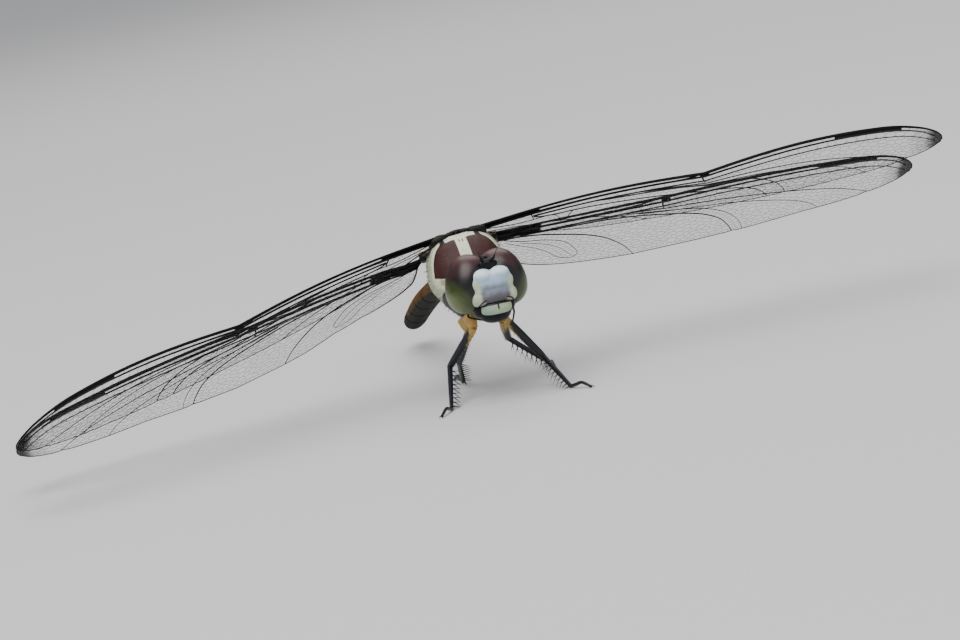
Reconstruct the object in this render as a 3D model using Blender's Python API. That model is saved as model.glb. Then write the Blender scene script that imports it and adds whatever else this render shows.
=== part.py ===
"""A life-size dragonfly, a female great blue skimmer, perched with its wings spread.

Every length below is in millimetres, and MM turns it to metres. Three frames carry the pieces:
  stance  the floor is z = 0, the thorax is over the origin and the animal faces -Y, its left at +X
  body    the thorax at its centre, tipped head up; the abdomen runs straight back along +Y
  head    the head at its centre, turned a little to the animal's left
The wings and legs hang on named joints in those frames. At the end the whole stance is moved so that
the origin is under the middle of the animal's box.
"""

import math

import bmesh
import bpy
from mathutils import Matrix, Vector

MM = 0.001
GAP = 0.06  # the space that neighbouring pieces keep
LEFT, RIGHT = 1, -1
SIDE_NAMES = {LEFT: "left", RIGHT: "right"}

# The stance
BODY_HEIGHT = 11.93  # the thorax's centre over the floor
BODY_PITCH = 12.8  # degrees, head up
BODY_ROLL = 2.5  # degrees, left side up
HEAD_AT = (0.0, -8.0, -2.0)  # in the body
HEAD_YAW = 4.4  # degrees, to the animal's left
HEAD_PITCH = 4.6  # degrees, face down
HEAD_ROLL = 3.2  # degrees, left side down

# The head, in its own frame
CAPSULE_AT, CAPSULE_RADII = (0.0, 0.15, -0.35), (2.55, 1.35, 2.5)
EYE_AT, EYE_RADII = (1.92, 0.35, 0.75), (2.1, 2.85, 2.95)
EYE_LEAN = 12.0  # degrees, the tops lean together
EYE_SEAM = 0.05  # half the seam between the eyes
EYE_BACK = 1.45  # the eyes' flat hind faces
FRONS_AT, FRONS_RADII = (0.0, -1.55, 0.8), (2.35, 1.6, 1.35)
CLYPEUS_AT, CLYPEUS_RADII = (0.0, -1.4, -0.95), (2.2, 1.42, 0.9)
LABRUM_AT, LABRUM_RADII = (0.0, -1.3, -2.3), (1.5, 1.3, 0.68)
LABIUM_AT, LABIUM_RADII = (0.0, -0.75, -2.6), (1.45, 1.4, 1.02)
VERTEX_AT, VERTEX_RADII = (0.0, -1.95, 2.5), (0.72, 0.62, 0.5)
ANTENNA_ROOT, ANTENNA_TIP = (0.6, -2.35, 2.62), (1.35, -3.75, 4.0)
ANTENNA_RADIUS = 0.25

# The thorax: (y, half width, bottom z, top z) of each cross-section, from the neck back
NECK_RADIUS = 0.75
NECK_FRONT = (-6.48, -1.2)  # y and z
PROTHORAX = [(-6.15, 1.0, -2.1, 0.1), (-6.05, 1.45, -2.5, 0.5), (-5.72, 1.65, -2.7, 0.85)]
THORAX = [
    (-5.6, 1.7, -2.5, 1.1),
    (-5.1, 2.6, -3.6, 2.2),
    (-4.2, 3.35, -4.2, 3.3),
    (-2.8, 3.85, -4.5, 4.3),
    (-1.0, 4.05, -4.6, 4.85),
    (0.9, 4.05, -4.5, 5.0),
    (2.6, 3.8, -4.2, 4.75),
    (4.0, 3.4, -3.5, 4.1),
    (5.0, 2.7, -2.6, 3.2),
    (5.6, 2.1, -1.7, 2.3),
]
THORAX_POWER = 2.5  # 2 is an ellipse, more is squarer
THORAX_BELLY = 0.3  # how much narrower it is along its underside

# The abdomen: each segment's length, then the half width and half height at its hind end
ABDOMEN_START = (5.6 + GAP, 0.8)  # y and z of its front end, in the body
ABDOMEN_DROP = 0.65  # how much lower its hind end is
ABDOMEN_ARCH = 0.8  # how far its middle is bowed up
ABDOMEN_BEND = 0.2  # and to the animal's right
ABDOMEN_SIDE = 0.3  # while its hind end stands this far to the left
ABDOMEN_FRONT = (1.9, 1.9)
ABDOMEN = [
    (1.5, 2.0, 2.05),
    (3.2, 1.75, 1.75),
    (5.6, 1.48, 1.35),
    (5.6, 1.5, 1.25),
    (5.4, 1.6, 1.25),
    (5.2, 1.6, 1.2),
    (4.6, 1.5, 1.15),
    (3.2, 1.42, 1.15),
    (1.7, 1.2, 1.05),
    (1.0, 0.9, 0.85),
]
CERCUS_LENGTH, CERCUS_RADIUS = 1.1, 0.27

# The wings
WING_THICK = 0.5
ROOT_THICK = 0.9  # at the hinge, falling to WING_THICK within a few millimetres
ROOT_FADE = 2.2
ROOT_INSIDE = 0.6  # how far a wing's root reaches in before the thorax trims it
FORE = {
    "length": 48.0,
    "nodus": 0.49,
    "bow": (0.6, 1.0),  # how far its leading margin arches up inside and outside its nodus
    "hinge": (2.5, -0.6, 4.5),
    "lead": [(0.0, 0.9), (0.25, 1.3), (0.49, 1.6), (0.8, 1.4), (1.0, 1.3)],
    "trail": [
        (0.0, -1.3), (0.04, -2.4), (0.1, -4.0), (0.2, -6.3), (0.35, -8.0),
        (0.5, -8.8), (0.645, -9.1), (0.8, -8.7), (1.0, -8.2),
    ],
    "tip": -3.3,
    "round_lead": 0.87,  # where the rounding of the tip starts on each margin
    "round_trail": 0.78,
}
HIND = {
    "length": 46.0,
    "nodus": 0.42,
    "bow": (0.0, 0.4),
    "hinge": (3.3, 3.7, 3.85),
    "lead": [(0.0, 0.9), (0.2, 1.4), (0.42, 1.7), (0.8, 1.4), (1.0, 1.2)],
    "trail": [
        (0.0, -1.4), (0.008, -4.0), (0.02, -7.0), (0.045, -8.6), (0.09, -10.5), (0.16, -12.1),
        (0.27, -12.5), (0.42, -11.9), (0.574, -11.1), (0.7, -10.6), (0.8, -9.9), (1.0, -9.0),
    ],
    "tip": -3.4,
    "round_lead": 0.87,
    "round_trail": 0.76,
}
STATIONS = [0.0, 0.02, 0.045, 0.08, 0.13, 0.2, 0.3, 0.42, 0.54, 0.66, 0.76, 0.84, 0.89, 0.93, 0.965, 0.988, 0.998]
# (wing, side): degrees that the wing is swept forward, droops, and has its leading edge raised
WING_SET = {
    ("fore", LEFT): (12.6, 8.0, 13.9),
    ("hind", LEFT): (5.3, 7.1, 14.9),
    ("fore", RIGHT): (9.4, 12.4, 15.1),
    ("hind", RIGHT): (-2.8, 7.9, 17.8),
}

# The legs: hips and coxa roots in the body, mirrored left to right
HIPS = {"fore": (1.2, -5.85, -3.95), "mid": (1.65, -3.6, -5.2), "hind": (1.8, -1.2, -5.2)}
COXA_ROOTS = {"fore": (0.8, -5.7, -2.2), "mid": (1.2, -3.0, -3.2), "hind": (1.4, -0.6, -3.2)}
# Knees, ankles and toes of the four legs that stand, in the stance
FLOOR_LEGS = {
    ("mid", LEFT): [(4.98, -4.45, 3.0), (6.1, -9.5, 0.22), (6.95, -11.0, 0.6), (7.6, -12.1, 0.2)],
    ("mid", RIGHT): [(-3.95, -0.4, 3.6), (-5.6, -5.7, 0.22), (-6.4, -7.2, 0.6), (-7.2, -8.4, 0.2)],
    ("hind", LEFT): [(3.15, 2.3, 4.6), (7.8, 4.8, 0.22), (7.9, 6.1, 0.55), (8.0, 7.3, 0.2)],
    ("hind", RIGHT): [(-2.35, 2.8, 3.25), (-1.3, 9.0, 0.22), (-1.4, 10.5, 0.6), (-1.6, 11.8, 0.2)],
}
# The forelegs are folded up behind the head, as a perched dragonfly holds them; the left foot hangs down.
# Knee, shin's bend, ankle, wrist and toe, in the body
FOLDED_FORELEGS = {
    LEFT: [(2.75, -5.72, -0.55), (3.3, -5.75, -0.6), (2.5, -5.62, -3.6), (2.32, -5.85, -4.94), (1.85, -6.1, -5.85)],
    RIGHT: [(-2.75, -5.85, -0.55), (-3.3, -6.05, -0.6), (-2.45, -6.15, -3.6), (-2.2, -6.3, -4.2), (-0.6, -6.75, -5.2)],
}
COXA_RADIUS, HIP_RADIUS = 0.62, 0.5
FEMUR_RADIUS, KNEE_RADIUS = 0.46, 0.33
TIBIA_RADIUS, ANKLE_RADIUS = 0.27, 0.25
TARSUS_RADIUS = 0.26
FORE_SLIM = 0.8  # the forelegs' femora are this much slimmer

# sRGB colours
WHITE = "DDE6E6"
CREAM = "D8D6B4"
BROWN = "4A2E24"
EYE_BROWN = "45201C"
BLACK = "17151A"
GREEN = "9DB394"
TAN = "B98A45"
AMBER = "7A5426"
SMOKE = "6E6A66"


def clear_scene():
    for obj in list(bpy.data.objects):
        bpy.data.objects.remove(obj, do_unlink=True)


def new_collection(name):
    collection = bpy.data.collections.new(name)
    bpy.context.scene.collection.children.link(collection)
    return collection


def linear(value):
    return value / 12.92 if value <= 0.04045 else ((value + 0.055) / 1.055) ** 2.4


def material(name, colour, roughness):
    made = bpy.data.materials.new(name)
    made.use_nodes = True
    shader = made.node_tree.nodes["Principled BSDF"]
    rgb = [linear(int(colour[i : i + 2], 16) / 255) for i in (0, 2, 4)]
    shader.inputs["Base Color"].default_value = (*rgb, 1.0)
    shader.inputs["Roughness"].default_value = roughness
    shader.inputs["Metallic"].default_value = 0.0
    return made


def empty(name, parent, matrix):
    """A frame for pieces: matrix is in millimetres, within the parent."""
    frame = bpy.data.objects.new(name, None)
    parts.objects.link(frame)
    frame.parent = parent
    turn = matrix.to_3x3().to_4x4()
    frame.matrix_basis = Matrix.Translation(matrix.translation * MM) @ turn
    return frame


def turn(degrees, axis):
    return Matrix.Rotation(math.radians(degrees), 4, axis)


def solid(name, bm, frame, finish):
    """Makes a piece of a bmesh in millimetres."""
    bmesh.ops.recalc_face_normals(bm, faces=bm.faces)
    bmesh.ops.scale(bm, vec=(MM, MM, MM), verts=bm.verts)
    mesh = bpy.data.meshes.new(name)
    bm.to_mesh(mesh)
    bm.free()
    mesh.materials.append(finish)
    mesh.shade_smooth()
    mesh.set_sharp_from_angle(angle=math.radians(50))
    piece = bpy.data.objects.new(name, mesh)
    parts.objects.link(piece)
    piece.parent = frame
    return piece


def room_for(piece):
    """A hidden copy of a piece, grown by the gap, that trims the pieces next to it."""
    bm = bmesh.new()
    bm.from_mesh(piece.data)
    bm.normal_update()
    for vert in bm.verts:
        vert.co += vert.normal * GAP * MM
    mesh = bpy.data.meshes.new("room_for_" + piece.name)
    bm.to_mesh(mesh)
    bm.free()
    room = bpy.data.objects.new(mesh.name, mesh)
    cutters.objects.link(room)
    room.parent = piece.parent
    room.hide_render = True
    room.display_type = "WIRE"
    return room


def trim(piece, *rooms):
    for room in rooms:
        cut = piece.modifiers.new(room.name, "BOOLEAN")
        cut.operation = "DIFFERENCE"
        cut.solver = "EXACT"
        cut.object = room


def through(points, x):
    """The height at x of a smooth line through points, which run in order of x."""
    last = len(points) - 1
    i = min(max(k for k in range(last + 1) if k == 0 or points[k][0] <= x), last - 1)

    def slope(k):
        a, b = points[max(k - 1, 0)], points[min(k + 1, last)]
        return (b[1] - a[1]) / (b[0] - a[0])

    (x0, y0), (x1, y1) = points[i], points[i + 1]
    span = x1 - x0
    t = (x - x0) / span
    rise = (2 * t**3 - 3 * t**2 + 1) * y0 + (3 * t**2 - 2 * t**3) * y1
    return rise + span * ((t**3 - 2 * t**2 + t) * slope(i) + (t**3 - t**2) * slope(i + 1))


def ball(centre, radii, power=2.0, around=24, up=14):
    """A ball, squarer than a sphere where power is over 2."""
    bm = bmesh.new()
    bmesh.ops.create_uvsphere(bm, u_segments=around, v_segments=up, radius=1.0)
    for vert in bm.verts:
        size = sum(abs(c) ** power for c in vert.co) ** (1 / power)
        vert.co = Vector(c / size * r for c, r in zip(vert.co, radii))
    bmesh.ops.translate(bm, vec=centre, verts=bm.verts)
    return bm


def slice_off(bm, point, normal):
    """Takes away what lies beyond a plane, on the side its normal points to, and closes the cut."""
    whole = bm.verts[:] + bm.edges[:] + bm.faces[:]
    bmesh.ops.bisect_plane(bm, geom=whole, plane_co=point, plane_no=normal, clear_outer=True)
    rim = [edge for edge in bm.edges if edge.is_boundary]
    bmesh.ops.holes_fill(bm, edges=rim, sides=0)


def loft(rings):
    """A skin over rings of as many points each, closed at both ends."""
    bm = bmesh.new()
    loops = [[bm.verts.new(point) for point in ring] for ring in rings]
    count = len(loops[0])
    for near, far in zip(loops, loops[1:]):
        for i in range(count):
            j = (i + 1) % count
            bm.faces.new((near[i], near[j], far[j], far[i]))
    bm.faces.new(loops[0][::-1])
    bm.faces.new(loops[-1])
    return bm


def rounded_ring(y, half_width, bottom, top, power, belly=0.0, sides=20):
    """An upright ring across the body, between an ellipse and a box, narrower below by belly."""
    middle, half_height = (top + bottom) / 2, (top - bottom) / 2
    ring = []
    for i in range(sides):
        angle = 2 * math.pi * i / sides
        c, s = math.cos(angle), math.sin(angle)
        size = (abs(c) ** power + abs(s) ** power) ** (1 / power)
        narrow = 1 - belly * max(-s / size, 0)
        ring.append((half_width * narrow * c / size, y, middle + half_height * s / size))
    return ring


def tube(points, radii, sides=10):
    """Mitred rings along a bent line, so that one ring serves the stretch on each side of it."""
    points = [Vector(p) for p in points]
    steps = [(b - a).normalized() for a, b in zip(points, points[1:])]
    across = steps[0].orthogonal().normalized()
    rings = []
    for i, point in enumerate(points):
        before, after = steps[max(i - 1, 0)], steps[min(i, len(steps) - 1)]
        mitre = (before + after).normalized()
        other = before.cross(across)
        ring = []
        for k in range(sides):
            angle = 2 * math.pi * k / sides
            out = (across * math.cos(angle) + other * math.sin(angle)) * radii[i]
            ring.append(point + out - before * out.dot(mitre) / before.dot(mitre))
        rings.append(ring)
        across = before.rotation_difference(after) @ across
    return rings, steps


def head_pieces():
    capsule = solid("head_capsule", ball(CAPSULE_AT, CAPSULE_RADII), head, black)
    frons = solid("frons", frons_shape(), head, white)
    clypeus = solid("clypeus", ball(CLYPEUS_AT, CLYPEUS_RADII, 2.4), head, white)
    labrum = solid("labrum", ball(LABRUM_AT, LABRUM_RADII, 2.4, 20, 10), head, green)
    labium = solid("labium", ball(LABIUM_AT, LABIUM_RADII, 2.2, 20, 10), head, black)
    vertex = solid("vertex", ball(VERTEX_AT, VERTEX_RADII, 2.0, 12, 8), head, black)
    laid = []
    for piece in (capsule, frons, clypeus, labrum, labium, vertex):
        trim(piece, *laid)
        laid.append(room_for(piece))
    for side, name in SIDE_NAMES.items():
        eye = solid("eye_" + name, eye_shape(side), head, eye_brown)
        trim(eye, *laid)
        ends = [Vector((side * p[0], p[1], p[2])) for p in (ANTENNA_ROOT, ANTENNA_TIP)]
        rings, _ = tube(ends, (ANTENNA_RADIUS, ANTENNA_RADIUS), sides=8)
        antenna = solid("antenna_" + name, loft(rings), head, black)
        trim(antenna, laid[-1])


def frons_shape():
    """The bulging forehead, notched on top by a groove down its middle."""
    bm = ball(FRONS_AT, FRONS_RADII, 2.5)
    for vert in bm.verts:
        groove = math.exp(-((vert.co.x / 0.5) ** 2))
        high = max(0.0, (vert.co.z - FRONS_AT[2]) / FRONS_RADII[2])
        vert.co.z -= 0.45 * groove * high
        vert.co.y += 0.22 * groove * high
    return bm


def eye_shape(side):
    """One large eye, met by its fellow at the seam and flat behind."""
    bm = ball((0, 0, 0), EYE_RADII, 2.1, 28, 18)
    bmesh.ops.rotate(bm, matrix=turn(-side * EYE_LEAN, "Y").to_3x3(), verts=bm.verts)
    bmesh.ops.translate(bm, vec=(side * EYE_AT[0], EYE_AT[1], EYE_AT[2]), verts=bm.verts)
    slice_off(bm, (side * EYE_SEAM, 0, 0), (-side, 0, 0))
    slice_off(bm, (0, EYE_BACK, 0), (0, 1, 0))
    return bm


def trunk_pieces():
    rings = [rounded_ring(*section, THORAX_POWER, THORAX_BELLY) for section in THORAX]
    thorax = solid("thorax", loft(rings), body, brown)
    rings = [rounded_ring(*section, 2.0, sides=16) for section in PROTHORAX]
    prothorax = solid("prothorax", loft(rings), body, cream)
    neck_back = Vector((0, PROTHORAX[0][0] - GAP, NECK_FRONT[1]))
    neck_front = Vector((0, *NECK_FRONT))
    rings, _ = tube([neck_front, neck_back], (NECK_RADIUS, NECK_RADIUS))
    neck = solid("neck", loft(rings), body, black)
    trim(neck, bpy.data.objects["room_for_head_capsule"])
    return room_for(thorax), room_for(prothorax)


def abdomen_axis(y):
    """The middle of the abdomen at y: it is bowed a little, as a resting animal holds it."""
    start, z = ABDOMEN_START
    share = (y - start) / sum(section[0] for section in ABDOMEN)
    bow = math.sin(math.pi * min(share, 1.0))
    return ABDOMEN_SIDE * share - ABDOMEN_BEND * bow, z - ABDOMEN_DROP * share + ABDOMEN_ARCH * bow


def abdomen_pieces():
    y = ABDOMEN_START[0]
    wide, high = ABDOMEN_FRONT
    for number, (length, next_wide, next_high) in enumerate(ABDOMEN, 1):
        rings = []
        for along, lip in ((0.0, 0.93), (0.1, 1.0), (0.9, 1.0), (1.0, 0.95)):
            w = wide + (next_wide - wide) * along
            h = high + (next_high - high) * along
            rings.append(keeled_ring(y + along * (length - GAP), w * lip, h * lip))
        solid(f"abdomen_{number:02d}", loft(rings), body, amber if number < 9 else black)
        y += length
        wide, high = next_wide, next_high
    for side, name in SIDE_NAMES.items():
        x, z = abdomen_axis(y)
        ends = [Vector((x + side * 0.4, y, z)), Vector((x + side * 0.45, y + CERCUS_LENGTH, z))]
        rings, _ = tube(ends, (CERCUS_RADIUS, CERCUS_RADIUS * 0.95), sides=8)
        solid("cercus_" + name, loft(rings), body, black)


def keeled_ring(y, half_width, half_height, sides=16):
    """A ring across the abdomen, drawn up to a blunt keel along its back."""
    x, z = abdomen_axis(y)
    ring = []
    for i in range(sides):
        angle = 2 * math.pi * i / sides
        c, s = math.cos(angle), math.sin(angle)
        narrow = 1 - 0.16 * max(s, 0.0)
        ring.append((x + half_width * c * narrow, y, z + half_height * s * (1.0 if s > 0 else 0.92)))
    return ring


def margins(wing, s):
    """The leading and trailing margins at a share s of the wing's length, rounded at the tip."""
    found = []
    for margin, start in (("lead", "round_lead"), ("trail", "round_trail")):
        across = through(wing[margin], max(s, 0.0))
        if s > wing[start]:
            q = (s - wing[start]) / (1 - wing[start])
            across = wing["tip"] + (across - wing["tip"]) * math.sqrt(1 - q * q)
        found.append(across)
    return found


def arch(wing, s):
    """How far the leading margin is bowed up at s: it dips at the nodus."""
    nodus = wing["nodus"]
    inner, outer = wing["bow"]
    if s < nodus:
        return inner * math.sin(math.pi * max(s, 0) / nodus)
    return outer * math.sin(math.pi * (s - nodus) / (1 - nodus))


def wing_shape(wing, side):
    """A thin wing, thicker towards its hinge. Its margins are bevelled to an edge."""
    rings = []
    for s in [-ROOT_INSIDE / wing["length"], *STATIONS]:
        lead, trail = margins(wing, s)
        along = s * wing["length"]
        half = (WING_THICK + (ROOT_THICK - WING_THICK) * math.exp(-max(along, 0) / ROOT_FADE)) / 2
        edge = min(0.25, (lead - trail) / 4)
        section = [(lead, 0), (lead - edge, half), (trail + edge, half)]
        section += [(trail, 0), (trail + edge, -half), (lead - edge, -half)]
        lift = arch(wing, s) / (lead - trail)
        rings.append([(side * along, -v, height + lift * (v - trail)) for v, height in section])
    return loft(rings)


def wing_pieces(thorax_room):
    for (kind, side), (sweep, droop, raised) in WING_SET.items():
        wing = FORE if kind == "fore" else HIND
        piece = solid(f"{kind}wing_{SIDE_NAMES[side]}", wing_shape(wing, side), body, smoke)
        x, y, z = wing["hinge"]
        piece.location = Vector((side * x, y, z)) * MM
        piece.rotation_mode = "ZYX"
        piece.rotation_euler = [math.radians(a) for a in (-raised, side * droop, -side * sweep)]
        trim(piece, thorax_room)


def split_tube(names, points, radii, cuts, finishes):
    """One bent tube, parted at the rings named in cuts into the pieces of a leg."""
    rings, steps = tube(points, radii)
    starts, ends = [0, *cuts], [*cuts, len(points) - 1]
    made = []
    for name, first, last, finish in zip(names, starts, ends, finishes):
        part = [list(ring) for ring in rings[first : last + 1]]
        if first:
            back = steps[first] / steps[first].dot((steps[first - 1] + steps[first]).normalized())
            part[0] = [point + back * GAP / 2 for point in part[0]]
        if last < len(points) - 1:
            back = steps[last - 1] / steps[last - 1].dot((steps[last - 1] + steps[last]).normalized())
            part[-1] = [point - back * GAP / 2 for point in part[-1]]
        bm = loft(part)
        if min(vert.co.z for vert in bm.verts) < 0:
            slice_off(bm, (0, 0, 0), (0, 0, -1))
        made.append(solid(name, bm, stance, finish))
    return made


def leg_pieces(thorax_room, prothorax_room):
    for kind in HIPS:
        for side, name in SIDE_NAMES.items():
            root, hip = (
                body_matrix @ Vector((side * p[0], p[1], p[2])) for p in (COXA_ROOTS[kind], HIPS[kind])
            )
            slim = FORE_SLIM if kind == "fore" else 1.0
            if kind == "fore":
                points = FOLDED_FORELEGS[side]
                knee, bend, ankle, wrist, toe = (body_matrix @ Vector(p) for p in points)
                middle = hip.lerp(knee, 0.4)
                path = [root, hip, middle, knee, bend, ankle, wrist, toe]
                radii = [COXA_RADIUS * slim, HIP_RADIUS * slim, FEMUR_RADIUS * slim, KNEE_RADIUS * slim]
                radii += [TIBIA_RADIUS, ANKLE_RADIUS, TARSUS_RADIUS, TARSUS_RADIUS]
                cuts = (1, 3, 5)
            else:
                knee, ankle, arch, toe = (Vector(p) for p in FLOOR_LEGS[kind, side])
                middle = hip.lerp(knee, 0.4)
                path = [root, hip, middle, knee, ankle, arch, toe]
                radii = [COXA_RADIUS, HIP_RADIUS, FEMUR_RADIUS, KNEE_RADIUS]
                radii += [ANKLE_RADIUS, TARSUS_RADIUS, TARSUS_RADIUS]
                cuts = (1, 3, 4)
            names = [f"{part}_{kind}_{name}" for part in ("coxa", "femur", "tibia", "tarsus")]
            made = split_tube(names, path, radii, cuts, (tan, black, black, black))
            trim(made[0], thorax_room, *([prothorax_room] if kind == "fore" else []))


def stand_over_origin():
    """Moves the stance so that the origin is under the middle of the animal's box."""
    bpy.context.view_layer.update()
    graph = bpy.context.evaluated_depsgraph_get()
    corners = []
    for piece in parts.objects:
        if piece.type == "MESH":
            shape = piece.evaluated_get(graph)
            corners += [shape.matrix_world @ vert.co for vert in shape.data.vertices]
    low = Vector(min(c[i] for c in corners) for i in range(3))
    high = Vector(max(c[i] for c in corners) for i in range(3))
    stance.location -= Vector(((low.x + high.x) / 2, (low.y + high.y) / 2, low.z))


clear_scene()
parts = new_collection("dragonfly")
cutters = new_collection("cutters")
white = material("pale_face", WHITE, 0.35)
cream = material("cream_band", CREAM, 0.5)
brown = material("brown_thorax", BROWN, 0.5)
eye_brown = material("brown_eye", EYE_BROWN, 0.15)
black = material("black_cuticle", BLACK, 0.4)
green = material("pale_green_lip", GREEN, 0.35)
tan = material("tan_coxa", TAN, 0.45)
amber = material("amber_abdomen", AMBER, 0.45)
smoke = material("smoky_wing", SMOKE, 0.25)

body_matrix = Matrix.Translation((0, 0, BODY_HEIGHT)) @ turn(-BODY_PITCH, "X") @ turn(-BODY_ROLL, "Y")
head_turn = turn(HEAD_YAW, "Z") @ turn(HEAD_PITCH, "X") @ turn(HEAD_ROLL, "Y")
head_in_body = Matrix.Translation(HEAD_AT) @ head_turn
stance = empty("stance", None, Matrix.Identity(4))
body = empty("body", stance, body_matrix)
head = empty("head", body, head_in_body)

head_pieces()
thorax_room, prothorax_room = trunk_pieces()
abdomen_pieces()
wing_pieces(thorax_room)
leg_pieces(thorax_room, prothorax_room)
stand_over_origin()
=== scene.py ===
"""The looks of a life-size great blue skimmer, a dragonfly at rest with its wings spread.

Lengths are in millimetres until a piece is finished, when MM turns them to metres. Three frames are used:
  row   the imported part's own: the floor is z = 0 and the animal faces -Y with its left at +X
  BODY  the thorax at its centre, tipped head up; the abdomen runs back along +Y
  HEAD  the head at its centre, turned a little to the animal's left
"""

import math
import random

import bmesh
import bpy
import numpy as np
from mathutils import Euler, Matrix, Vector, geometry, kdtree


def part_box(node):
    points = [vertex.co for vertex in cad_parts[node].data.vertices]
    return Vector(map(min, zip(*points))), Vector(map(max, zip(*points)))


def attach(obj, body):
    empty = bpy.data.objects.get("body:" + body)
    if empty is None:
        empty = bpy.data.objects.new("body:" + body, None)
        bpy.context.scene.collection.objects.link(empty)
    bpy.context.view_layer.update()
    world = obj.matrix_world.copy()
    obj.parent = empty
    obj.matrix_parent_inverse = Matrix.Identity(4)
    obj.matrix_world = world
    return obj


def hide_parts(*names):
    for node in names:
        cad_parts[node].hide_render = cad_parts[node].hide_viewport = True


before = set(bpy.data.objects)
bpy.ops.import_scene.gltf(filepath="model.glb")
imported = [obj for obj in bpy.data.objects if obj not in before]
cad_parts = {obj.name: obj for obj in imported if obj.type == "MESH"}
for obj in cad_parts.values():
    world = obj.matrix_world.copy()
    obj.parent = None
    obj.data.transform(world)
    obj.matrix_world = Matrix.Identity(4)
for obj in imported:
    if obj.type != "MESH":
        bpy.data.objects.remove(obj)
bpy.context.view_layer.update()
random.seed(11)

MM = 0.001
LEFT, RIGHT = 1, -1
SIDES = {LEFT: "left", RIGHT: "right"}


def turn(degrees, axis):
    return Matrix.Rotation(math.radians(degrees), 4, axis)


def middle(node):
    """The middle of a solid's box, in millimetres."""
    low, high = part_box(node)
    return (low + high) / 2 / MM


THORAX_CENTRE = Vector((0.01, 0.02, -0.14))  # the body's centre, from the middle of the thorax's box
BODY = Matrix.Translation(middle("thorax") + THORAX_CENTRE) @ turn(-12.8, "X") @ turn(-2.5, "Y")
HEAD_AT = Vector((0.0, -8.0, -2.0))
HEAD = BODY @ Matrix.Translation(HEAD_AT) @ turn(4.4, "Z") @ turn(4.6, "X") @ turn(3.2, "Y")
MARKS = BODY @ turn(-6.0, "Z")  # the thorax and its markings are turned a little to the animal's right


# ---------------------------------------------------------------- materials


def linear(code):
    """An sRGB hex colour as Blender's linear colour."""
    parts = [int(code[i : i + 2], 16) / 255 for i in (0, 2, 4)]
    return [c / 12.92 if c <= 0.04045 else ((c + 0.055) / 1.055) ** 2.4 for c in parts] + [1.0]


class Value:
    """A value inside a material. Arithmetic on it adds Math nodes, so a pattern is written as a formula."""

    def __init__(self, tree, socket):
        self.tree, self.socket = tree, socket

    def output(self, key):
        """Another output of the same node."""
        return Value(self.tree, self.socket.node.outputs[key])

    def math(self, operation, other=0.0):
        return node(self.tree, "Math", {0: self, 1: other}, operation=operation)

    def __add__(self, other):
        return self.math("ADD", other)

    def __sub__(self, other):
        return self.math("SUBTRACT", other)

    def __mul__(self, other):
        return self.math("MULTIPLY", other)

    def __truediv__(self, other):
        return self.math("DIVIDE", other)

    def __neg__(self):
        return self * -1.0

    def __abs__(self):
        return self.math("ABSOLUTE")


def node(tree, kind, links=None, output=0, **settings):
    """Adds a node and gives one of its outputs. links gives each input a Value to follow or a constant."""
    made = tree.nodes.new("ShaderNode" + kind)
    for key, value in settings.items():
        setattr(made, key, value)
    for socket, value in (links or {}).items():
        if isinstance(value, Value):
            tree.links.new(value.socket, made.inputs[socket])
        else:
            made.inputs[socket].default_value = value
    return Value(tree, made.outputs[output])


def surface(name, **sockets):
    """A new material, and its Principled shader with these sockets set."""
    material = bpy.data.materials.new(name)
    material.use_nodes = True
    shader = material.node_tree.nodes["Principled BSDF"]
    for socket, value in sockets.items():
        shader.inputs[socket.replace("_", " ")].default_value = value
    return material, shader


def feed(shader, **values):
    """Links Values to the shader's sockets."""
    for socket, value in values.items():
        value.tree.links.new(value.socket, shader.inputs[socket.replace("_", " ")])


def place_in(shader, frame_matrix):
    """Object coordinates turned to millimetres in BODY, HEAD or MARKS."""
    tree = shader.id_data
    settings = {
        "Vector": node(tree, "TexCoord", output="Object"),
        "Location": frame_matrix.translation * MM,
        "Rotation": frame_matrix.to_euler(),
        "Scale": (MM, MM, MM),
    }
    return node(tree, "Mapping", settings, vector_type="TEXTURE")


def parts_of(vector):
    """The x, y and z of a vector."""
    x = node(vector.tree, "SeparateXYZ", {0: vector})
    return x, x.output(1), x.output(2)


def soft(value, start, end):
    """0 where value is at start, 1 at end, smooth between. start may be above end."""
    settings = {"Value": value, "From Min": start, "From Max": end}
    return node(value.tree, "MapRange", settings, interpolation_type="SMOOTHSTEP")


def band(value, start, end, blur):
    """1 where value is between start and end, fading over blur outside them."""
    return soft(value, start - blur, start) * soft(value, end + blur, end)


def paint(under, over, mask):
    """over laid on under where mask is 1. Colours are hex codes or Values."""
    under, over = (linear(c) if isinstance(c, str) else c for c in (under, over))
    return node(mask.tree, "Mix", {0: mask, 6: under, 7: over}, output=2, data_type="RGBA")


def grain(at, size_mm, detail=3.0):
    """Fine noise whose lumps are about size_mm across, for a vector in millimetres."""
    return node(at.tree, "TexNoise", {"Vector": at, "Scale": 1 / size_mm, "Detail": detail})


def drift(at, size_mm, reach):
    """Noise that moves an edge by up to half of reach either way."""
    return (grain(at, size_mm) - 0.5) * reach


def rough_skin(shader, height, strength, distance_mm):
    settings = {"Height": height, "Strength": strength, "Distance": distance_mm * MM}
    feed(shader, Normal=node(shader.id_data, "Bump", settings))


BLACK = "0C0D12"  # the black of the face's edges
FACET_MM = 0.11


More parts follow.
